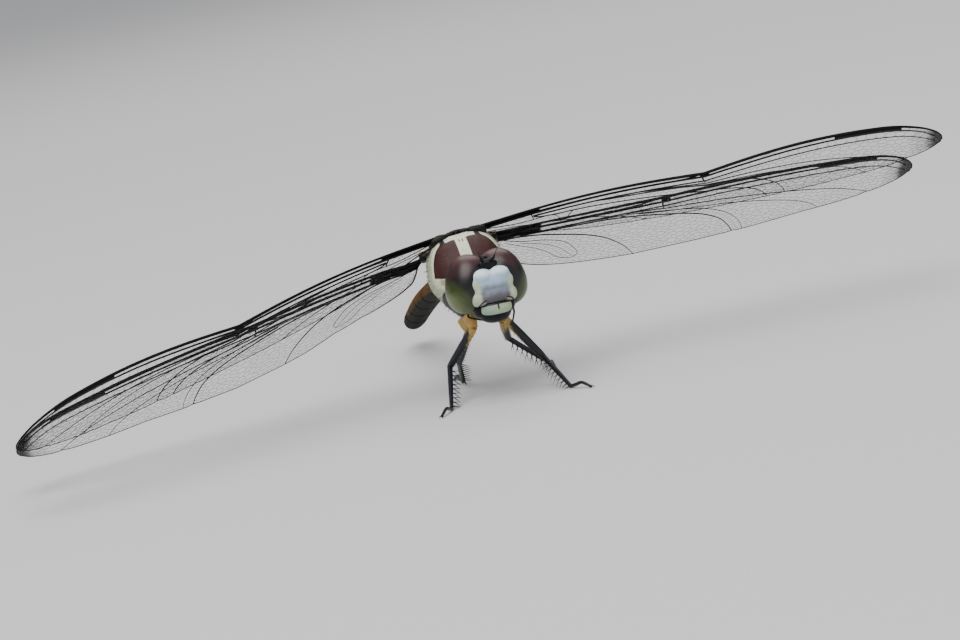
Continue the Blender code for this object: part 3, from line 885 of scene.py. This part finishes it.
def cell_plan(plan):
    """The wing's cells as flat polygons, with their walls on the veins and the margins."""
    seeds = Seeds()
    front_seeds(plan, seeds)
    hind_seeds(plan, seeds)
    bm = grow_cells(seeds)
    outside = []
    for face in bm.faces:
        x, v, _ = face.calc_center_median()
        if not (0.0 < x < plan.length and plan.trail(x) < v < plan.lead(x)):
            outside.append(face)
    bmesh.ops.delete(bm, geom=outside, context="FACES")
    settle(bm, plan)
    return bm


def walk(line, pitch):
    """Points at even steps along a flat line, each with the direction to its left."""
    line = [Vector(p) for p in line]
    found, left = [], 0.0
    for a, b in zip(line, line[1:]):
        step = (b - a).length
        while left < step:
            ahead = (b - a) / step
            found.append((a + ahead * left, Vector((-ahead.y, ahead.x))))
            left += pitch
        left -= step
    return found


def finder(lines):
    """A tree of closely spaced points along flat lines."""
    dots = [p for line in lines for p, _ in walk(line, 0.04)]
    tree = kdtree.KDTree(len(dots))
    for i, point in enumerate(dots):
        tree.insert((*point, 0.0), i)
    tree.balance()
    return tree


def settle(bm, plan):
    """Moves the cells' corners that are beside a vein or the margin onto it."""
    vein_tree = finder([line for line, *_ in plan.veins.values()])
    edge_tree = finder([plan.edge])
    for vert in bm.verts:
        if vert.is_boundary:
            vert.co = edge_tree.find(vert.co)[0]
        else:
            place, _, gap = vein_tree.find(vert.co)
            if gap < SETTLE_REACH:
                vert.co = place
    bmesh.ops.dissolve_degenerate(bm, dist=0.03, edges=bm.edges)


def wing_pieces(kind, film, vein):
    plan = WingPlan(kind)
    cells = cell_plan(plan)
    for side, side_name in SIDES.items():
        name = f"{kind}wing_{side_name}"
        bm = cells.copy()
        uv = bm.loops.layers.uv.new("span_chord")
        for face in bm.faces:
            for loop in face.loops:
                loop[uv].uv = plan.share(loop.vert.co)
        for vert in bm.verts:
            vert.co = plan.drape(vert.co, side)
        struts = bm.copy()
        bmesh.ops.triangulate(bm, faces=bm.faces)
        thick = {"thickness": FILM_THICK * MM, "offset": 0.0}
        finish(bm, name + "_film", film, (name,), 180.0, [("SOLIDIFY", thick)])
        walls = {"use_replace": True, "use_boundary": True, "use_even_offset": True}
        bmesh.ops.wireframe(struts, faces=struts.faces, thickness=CELL_STRUT / 2, **walls)
        finish(struts, name + "_cells", vein, (name,), 60.0)
        strands = [strand(plan, line, side, radii) for line, *radii in plan.veins.values()]
        strands.append(strand(plan, plan.front, side, COSTA_RADII))
        strands.append(strand(plan, plan.back, side, TRAILING_RADII))
        finish(rods(strands), name + "_veins", vein, (name,))
        dark_spots(plan, side, name, vein)
    cells.free()


def strand(plan, line, side, radii):
    """A vein's points in the row and the radius at each."""
    points = [plan.drape(p, side) for p in line]
    shares = np.linspace(0, len(radii) - 1, len(points))
    return points, np.interp(shares, range(len(radii)), radii)


def dark_spots(plan, side, name, vein):
    """The thick black cell near the tip, and the black knot at the nodus with the vein across it."""
    start, end = plan.wing["stigma"]
    radius_line = list(zip(*plan.veins["radius"][0]))
    bm = bmesh.new()
    bmesh.ops.create_grid(bm, x_segments=24, y_segments=3, size=0.5)
    for vert in bm.verts:
        span = start + (end - start) * (vert.co.x + 0.5)
        x = span * plan.length
        back = plan.share((x, float(np.interp(x, *radius_line))))[1]
        vert.co = plan.drape(plan.at(span, back * (0.5 - vert.co.y)), side)
    grow = {"thickness": 0.16 * MM, "offset": 0.0}
    finish(bm, name + "_stigma", vein, (name,), 60.0, [("SOLIDIFY", grow)])
    nodus = plan.wing["nodus"]
    across = flow([plan.at(nodus, 0.0), plan.at(nodus - 0.006, 0.1), plan.at(nodus - 0.002, 0.24)], 6)
    bm = rods([strand(plan, across, side, (0.16, 0.12, 0.05))])
    bead(bm, plan.drape(plan.at(nodus, 0.03), side), (0.5, 0.42, 0.17), 2.4, 3, 0.0, Matrix())
    finish(bm, name + "_nodus", vein, (name,), 60.0)


# ---------------------------------------------------------------- head

EYE_AT, EYE_RADII, EYE_LEAN = Vector((1.83, 0.35, 0.72)), (2.2, 2.85, 3.0), 15.5
EYE_SEAM, EYE_BACK = 0.015, 1.45  # where each eye is cut off, beside the other and behind
# lumps of the head: place, half sizes and squareness. The first number is to the side, and a lump stands on
# both sides unless it is 0.
FACE_LUMPS = (
    ((0.0, -1.6, 0.42), (2.45, 1.4, 1.05), 2.6),  # the frons, a broad rounded box
    ((0.9, -1.72, 0.98), (1.15, 1.36, 0.95), 2.3),  # its two upper lobes
    ((1.2, -1.55, -0.2), (0.98, 1.25, 0.75), 2.5),  # its lower corners
    ((1.5, -1.5, -0.95), (0.92, 1.2, 0.85), 2.4),  # the side lobes under it
    ((0.0, -1.5, -0.8), (1.75, 1.36, 0.98), 2.8),  # the plate between them, down to the upper lip
)
UPPER_LIP = ((0.0, -1.32, -2.1), (1.66, 1.3, 0.95), 2.35)
LOWER_LIP_LUMPS = (
    ((0.0, -0.85, -2.36), (1.72, 1.5, 1.27), 2.2),
    ((1.5, -0.7, -1.85), (0.72, 1.1, 0.95), 2.2),
)
LIP_TOP = -1.72
HEAD_BACK_LUMPS = (
    ((0.0, 0.2, -0.3), (2.6, 1.4, 2.5), 2.2, 5),
    ((0.0, 1.2, 2.1), (0.9, 0.5, 1.1), 2.0, 4),
)
OCELLI = ((0.0, -2.42, 2.42), (0.5, -2.1, 2.68), (-0.5, -2.1, 2.68))
VERTEX_LUMPS = (
    ((0.0, -1.9, 2.32), (0.78, 0.6, 0.5), 2.0),
    ((0.62, -2.02, 2.3), (0.34, 0.34, 0.3), 2.0),
    ((0.0, -1.5, 1.95), (1.5, 0.75, 0.6), 2.2),
    ((0.0, -0.7, 2.85), (0.5, 0.6, 0.4), 2.0),  # the triangle behind it, where the eyes meet
)


def lumps(bm, sizes, detail=4):
    for (x, y, z), radii, power in sizes:
        for side in SIDES if x else (1,):
            bead(bm, (side * x, y, z), radii, power, detail)


def head_pieces(black):
    cornea, face, lip = eye_cornea(), face_chitin(), lip_chitin()
    for side, side_name in SIDES.items():
        bm = bmesh.new()
        bead(bm, (side * EYE_AT.x, EYE_AT.y, EYE_AT.z), EYE_RADII, 2.25, 6, -side * EYE_LEAN)
        cut(bm, (side * EYE_SEAM, 0, 0), (-side, 0, 0))
        cut(bm, (0, EYE_BACK, 0), (0, 1, 0))
        finish(bm, "eye_" + side_name, cornea, ("eye_" + side_name,))
    bm = bmesh.new()
    for lump in HEAD_BACK_LUMPS:
        bead(bm, *lump)
    finish(bm, "head_back", black, ("head_capsule",), 60.0, MERGE_SOFT)
    bm = bmesh.new()
    lumps(bm, FACE_LUMPS)
    finish(bm, "face", face, ("frons", "clypeus"), 60.0, MERGE_SMOOTH)
    bm = bmesh.new()
    bead(bm, *UPPER_LIP, 5)
    cut(bm, (0, 0, LIP_TOP), (0, 0, 1))
    finish(bm, "upper_lip", lip, ("labrum",), 60.0)
    bm = bmesh.new()
    lumps(bm, LOWER_LIP_LUMPS)
    finish(bm, "lower_lip", black, ("labium",), 60.0, MERGE_SOFT)
    bm = bmesh.new()
    lumps(bm, VERTEX_LUMPS)
    finish(bm, "vertex_lumps", black, ("vertex",), 60.0, MERGE_SOFT)
    bm = bmesh.new()
    for place in OCELLI:
        bead(bm, place, (0.15, 0.12, 0.15), 2.0, 3)
    finish(bm, "ocelli", plain_chitin("ocellus_lens", "1D1512", "3A2A22", 0.08))
    for side, side_name in SIDES.items():
        antenna(side_name, black)


def antenna(side_name, black):
    """Two thick joints at the root, then a bristle."""
    name = "antenna_" + side_name
    root, tip = ends(name)
    bent = root.lerp(tip, 0.45) + Vector((0, 0, 0.12))
    line = flow([root, root.lerp(tip, 0.12), bent, tip], 6)
    radii = [0.16 if i < 5 else 0.1 if i < 8 else 0.055 - 0.002 * i for i in range(len(line))]
    finish(rods([(line, radii)]), name, black, (name,))


MERGE_SOFT = [
    ("REMESH", {"mode": "VOXEL", "voxel_size": 0.07 * MM}),
    ("SMOOTH", {"factor": 0.6, "iterations": 8}),
]
MERGE_SMOOTH = [
    ("REMESH", {"mode": "VOXEL", "voxel_size": 0.06 * MM}),
    ("SMOOTH", {"factor": 0.7, "iterations": 22}),
]
MERGE_RINGS = [
    ("REMESH", {"mode": "VOXEL", "voxel_size": 0.12 * MM}),
    ("SMOOTH", {"factor": 0.5, "iterations": 6}),
]


# ---------------------------------------------------------------- trunk


ABDOMEN_FROM, ABDOMEN_LENGTH = 5.66, 36.4
ABDOMEN_RINGS = (7.1, 10.3, 15.9, 21.5, 26.8, 32.0, 36.5, 39.6, 41.2)  # where one ring ends, along the body
# hard lumps on the back, for both sides: place, half sizes. The first five carry the wings.
BACK_LUMPS = (
    ((2.0, -1.45, 4.36), (1.05, 0.75, 0.55)),
    ((2.5, -0.3, 4.25), (0.62, 0.75, 0.42)),
    ((2.5, 2.9, 3.75), (0.8, 0.7, 0.42)),
    ((3.1, 3.7, 3.6), (0.6, 0.6, 0.4)),
    ((3.6, 2.3, 3.5), (0.6, 1.0, 0.5)),
    ((0.8, -0.6, 4.72), (0.75, 0.85, 0.32)),
    ((0.0, 0.75, 4.8), (0.85, 0.6, 0.45)),
    ((0.95, 1.9, 4.55), (0.8, 0.75, 0.32)),
    ((0.0, 3.1, 4.3), (0.75, 0.6, 0.42)),
    ((1.3, 3.9, 3.7), (0.7, 0.5, 0.35)),
)


def skin_of(name):
    """A smooth closed skin over a copy of a solid."""
    bm = copy_of(name)
    bmesh.ops.join_triangles(bm, faces=bm.faces, angle_face_threshold=0.7, angle_shape_threshold=0.7)
    bmesh.ops.subdivide_edges(bm, edges=bm.edges, cuts=2, smooth=1.0, use_grid_fill=True)
    return bm


WING_SPOT = Vector((3.85, 1.9, 3.98))  # a pale plate between the wings of a side


def trunk_pieces(black):
    thorax_pieces(black)
    back_pieces()
    bm = bmesh.new()
    names = [f"abdomen_{number:02d}" for number in range(1, 11)]
    for name in names:
        copy_of(name, bm)
    finish(bm, "abdomen_skin", abdomen_chitin(), names, 60.0, MERGE_RINGS)
    for side_name in SIDES.values():
        name = "cercus_" + side_name
        root, tip = ends(name)
        line = flow([root, root.lerp(tip, 0.5), tip], 5)
        radii = [0.24 - 0.15 * (i / (len(line) - 1)) ** 2 for i in range(len(line))]
        finish(rods([(line, radii)], 10), name, black, (name,))


def thorax_pieces(black):
    """The thorax's skin, which is slimmer below and a little hollow along the middle of the back, with its
    down, and the two pieces between it and the head."""
    chitin = thorax_chitin()
    smooth = [("SUBSURF", {"levels": 1, "render_levels": 1})]
    bm = skin_of("thorax")
    bmesh.ops.transform(bm, matrix=BODY.inverted(), verts=bm.verts)
    for vert in bm.verts:
        low = max(-vert.co.z / 4.5, 0.0)
        high = min(max(vert.co.z - 3.0, 0.0), 1.0)
        vert.co.x *= 1 - 0.13 * low
        vert.co.z += 0.3 * low * low - 0.22 * math.exp(-((vert.co.x / 1.6) ** 2)) * high
    bmesh.ops.transform(bm, matrix=MARKS, verts=bm.verts)
    hair_roots = bm.copy()
    finish(bm, "thorax_skin", chitin, ("thorax",), 180.0, smooth)
    thorax_down(hair_roots)
    finish(skin_of("prothorax"), "prothorax_skin", chitin, ("prothorax",), 180.0, smooth)
    finish(skin_of("neck"), "neck_skin", black, ("neck",), 60.0)


def back_pieces():
    """The hard plates that the wings hinge on, and a pale one at each side."""
    bm = bmesh.new()
    for (x, y, z), radii in BACK_LUMPS:
        for side in SIDES if x else (1,):
            bead(bm, (side * x, y, z), radii, 3.0, 4, side * 8.0 if x else 0.0, MARKS)
    dark = plain_chitin("back_plates", "0B0908", "1D1512", 0.4, 0.6)
    finish(bm, "wing_bases", dark, (), 60.0, MERGE_SOFT)
    bm = bmesh.new()
    for side in SIDES:
        bead(bm, (side * WING_SPOT.x, WING_SPOT.y, WING_SPOT.z), (0.32, 0.4, 0.24), 2.0, 3, 0.0, MARKS)
    pale = plain_chitin("pale_sclerites", "A8925C", "CFC79B", 0.5, 0.5)
    finish(bm, "pale_sclerites", pale, (), 60.0)


DOWN_COUNT = 1700
DOWN_LENGTH = (0.25, 0.6)
DOWN_RADII = (0.011, 0.009, 0.003)
DOWN_PATCH = 0.003  # how far across a hair's patch of OFBake is


def thorax_down(skin):
    """Short fine hair over the thorax that leans back: one joined piece, with each hair's patch of
    OFBake at its root's place round and along the body."""
    faces = [f for f in skin.faces if f.calc_area() > 1e-5]
    areas = [f.calc_area() for f in faces]
    inside = MARKS.inverted()
    back = MARKS.to_3x3() @ Vector((0.0, 1.0, -0.25))
    strands, roots = [], []
    for face in random.choices(faces, areas, k=DOWN_COUNT):
        corners = [v.co for v in face.verts]
        weights = [random.random() for _ in corners]
        root = sum((c * w for c, w in zip(corners, weights)), Vector()) / sum(weights)
        place = inside @ root
        if place.y < -5.0 or place.y > 4.8:
            continue
        # sparser on the plates in front than on the sides
        if place.y < -2.8 and place.z > 0.8 and random.random() < 0.7:
            continue
        lean = (face.normal * random.uniform(0.5, 0.9) + back * 0.7).normalized()
        length = random.uniform(*DOWN_LENGTH)
        start = root - face.normal * 0.05
        bent = start + (lean + face.normal * 0.4).normalized() * length * 0.5
        strands.append(([start, bent, start + lean * length], DOWN_RADII))
        roots.append((math.atan2(place.x, place.z) / math.tau + 0.5, (place.y + 6.0) / 12.0))
    skin.free()
    bm = rods(strands, 3)
    uv = bm.loops.layers.uv.new("OFBake")
    tree = kdtree.KDTree(len(strands))
    for i, (points, _) in enumerate(strands):
        tree.insert(points[1], i)
    tree.balance()
    for face in bm.faces:
        u, v = roots[tree.find(face.calc_center_median())[1]]
        for i, loop in enumerate(face.loops):
            loop[uv].uv = (u + DOWN_PATCH * (i % 2), v + DOWN_PATCH * (i // 2))
    finish(bm, "thorax_down", down_hair(), (), 60.0)


# ---------------------------------------------------------------- legs

LEG_KINDS = ("fore", "mid", "hind")


def leg_pieces(black):
    chitin = leg_chitin()
    for kind in LEG_KINDS:
        for side_name in SIDES.values():
            leg(kind, side_name, chitin, black)


def leg(kind, side_name, chitin, black):
    """A leg's skin from root to toe, and its bristles and claws. It bends where the solids meet."""
    parts = [f"{part}_{kind}_{side_name}" for part in ("coxa", "femur", "tibia", "tarsus")]
    hip, knee, ankle = (joint(b, a) for a, b in zip(parts, parts[1:]))
    root = ends(parts[0])[0]
    tarsus = [v.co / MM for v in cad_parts[parts[3]].data.vertices]
    toe = max(tarsus, key=lambda p: (p - ankle).length)
    toe = centre_of([p for p in tarsus if (p - toe).length < 0.6])
    arch = centre_of([p for p in tarsus if (p - toe).length > 0.7 and (p - ankle).length > 0.7])
    slim = 0.6 if kind == "fore" else 1.0
    thigh = [hip, hip.lerp(knee, 0.12), hip.lerp(knee, 0.45), hip.lerp(knee, 0.9), knee]
    # coxa and hip, thigh, shin, foot; reach counts 1 at the hip, 2 at the knee, 3 at the ankle
    sections = [
        ([root, root.lerp(hip, 0.5), hip], [0.66, 0.62, 0.44], (0.0, 1.0)),
        (thigh, [0.36, 0.42, 0.43, 0.37, 0.32], (1.0, 2.0)),
        ([knee, knee.lerp(ankle, 0.06), knee.lerp(ankle, 0.5), ankle], [0.3, 0.29, 0.26, 0.2], (2.0, 3.0)),
        ([ankle, ankle.lerp(arch, 0.5), arch, toe], [0.18, 0.18, 0.17, 0.14], (3.0, 4.0)),
    ]
    strands, reaches = [], []
    for points, radii, reach in sections:
        line = flow(points, 6)
        wide = np.interp(np.linspace(0, len(points) - 1, len(line)), range(len(points)), radii) * slim
        strands.append((line, wide))
        reaches.append(reach)
    bm = rods(strands, 12)
    mark_reach(bm, strands, reaches)
    finish(bm, f"leg_{kind}_{side_name}", chitin, parts, 60.0)
    spines = rods(bristles(hip, knee, ankle, arch, toe), 4)
    finish(spines, f"bristles_{kind}_{side_name}", black)


def mark_reach(bm, strands, reaches):
    """Writes how far out along the leg each corner is, and how much it faces the body, for the colours."""
    layer = bm.verts.layers.float.new("reach")
    inner = bm.verts.layers.float.new("inner")
    tree = kdtree.KDTree(sum(len(line) for line, _ in strands))
    values = []
    for (line, _), (start, end) in zip(strands, reaches):
        for i, point in enumerate(line):
            tree.insert(point, len(values))
            values.append(start + (end - start) * i / (len(line) - 1))
    tree.balance()
    for vert in bm.verts:
        point, number, _ = tree.find(vert.co)
        vert[layer] = values[number]
        towards = Vector((BODY.translation.x, point.y, 0.0)) - point
        vert[inner] = max(0.0, (vert.co - point).normalized().dot(towards.normalized()))


def bristles(hip, knee, ankle, arch, toe):
    """Two rows of long spines under the shin, two of short ones under the thigh, and two claws.
    They stand towards the floor under the body."""
    strands = []
    under = Vector((BODY.translation.x, (hip.y + ankle.y) / 2, 0.0))
    for start, end, count, reach, thick, radius in (
        (knee, ankle, 9, 1.25, 0.055, 0.2),
        (hip, knee, 10, 0.4, 0.04, 0.34),
    ):
        axis = (end - start).normalized()
        inner = under - start.lerp(end, 0.5)
        inner = (inner - axis * inner.dot(axis)).normalized()
        beside = axis.cross(inner)
        for row_side in (-1, 1):
            for i in range(count):
                share = 0.1 + 0.84 * (i + 0.25 * row_side) / (count - 1)
                away = (inner + beside * row_side * 0.5).normalized()
                root = start.lerp(end, share) + away * radius * 0.8
                length = reach * (1.0 - 0.4 * abs(share - 0.4)) * random.uniform(0.85, 1.1)
                tip = root + (away * 0.9 + axis * 0.42).normalized() * length
                tip.z = max(tip.z, 0.03)
                bent = root.lerp(tip, 0.55) + axis * length * -0.04
                strands.append(([root, bent, tip], (thick, thick * 0.7, thick * 0.15)))
    axis = (toe - arch).normalized()
    for row_side in (-1, 1):
        beside = axis.cross(Vector((0, 0, 1))).normalized() * row_side
        out = toe + axis * 0.2 + beside * 0.12
        tip = toe + axis * 0.36 + beside * 0.2
        tip.z = max(0.03, toe.z - 0.2)
        out.z = toe.z + 0.03
        strands.append(([toe - axis * 0.05, out, tip], (0.07, 0.055, 0.012)))
    return strands


# ---------------------------------------------------------------- studio


FLOOR_METRES = 30.0
WORLD_LIGHT = ("DDE4F0", 0.34)
SKY_POWER, SKY_SPREAD, SKY_FALLS = 1.1, 70, Vector((0.25, 0.3, -1.0))
LAMPS = (  # name, place from the body's centre and size in metres, power
    ("key", (-0.22, -0.3, 0.6), 0.7, 5.5),
    ("fill", (0.5, -0.35, 0.3), 1.0, 1.2),
    ("back", (0.15, 0.5, 0.6), 0.6, 2.0),
)


def studio():
    """A pale floor under soft light."""
    bm = bmesh.new()
    bmesh.ops.create_grid(bm, x_segments=1, y_segments=1, size=FLOOR_METRES)
    mesh = bpy.data.meshes.new("floor")
    bm.to_mesh(mesh)
    bm.free()
    floor = bpy.data.objects.new("floor", mesh)
    bpy.context.scene.collection.objects.link(floor)
    material, _ = surface("floor_paper", Roughness=0.9, Base_Color=linear("CFCDCB"))
    mesh.materials.append(material)
    world = bpy.data.worlds.new("studio")
    bpy.context.scene.world = world
    world.use_nodes = True
    background = world.node_tree.nodes["Background"]
    background.inputs["Color"].default_value = linear(WORLD_LIGHT[0])
    background.inputs["Strength"].default_value = WORLD_LIGHT[1]
    lamp, _ = light("sky", "SUN", SKY_FALLS, SKY_POWER)
    lamp.angle = math.radians(SKY_SPREAD)
    for name, place, size, power in LAMPS:
        lamp, holder = light(name, "AREA", -Vector(place), power)
        lamp.size = size
        holder.location = BODY.translation * MM + Vector(place)


def light(name, kind, falls, power):
    lamp = bpy.data.lights.new(name, kind)
    lamp.energy = power
    holder = bpy.data.objects.new(name, lamp)
    holder.rotation_euler = falls.to_track_quat("-Z", "Y").to_euler()
    bpy.context.scene.collection.objects.link(holder)
    return lamp, holder


CAMERA_AT = Vector((-64.64, -348.69, 48.54))  # from the body's centre
CAMERA_AHEAD, CAMERA_UP = Vector((0.1808, 0.97235, -0.14781)), Vector((0.2308, 0.1041, 0.9674))
CAMERA_LENS = 131.25


def camera():
    """The camera in front of the animal, a little above it and tipped."""
    back = -CAMERA_AHEAD.normalized()
    right = CAMERA_UP.cross(back).normalized()
    stand = Matrix((right, back.cross(right), back)).transposed().to_4x4()
    stand.translation = (BODY.translation + CAMERA_AT) * MM
    lens = bpy.data.cameras.new("camera")
    lens.lens = CAMERA_LENS
    lens.clip_start = 0.01
    holder = bpy.data.objects.new("camera", lens)
    holder.matrix_world = stand
    bpy.context.scene.collection.objects.link(holder)
    bpy.context.scene.camera = holder


black = plain_chitin("black_chitin")
film, vein = wing_film(), vein_chitin()
for kind in WINGS:
    wing_pieces(kind, film, vein)
head_pieces(black)
trunk_pieces(black)
leg_pieces(black)
studio()
camera()
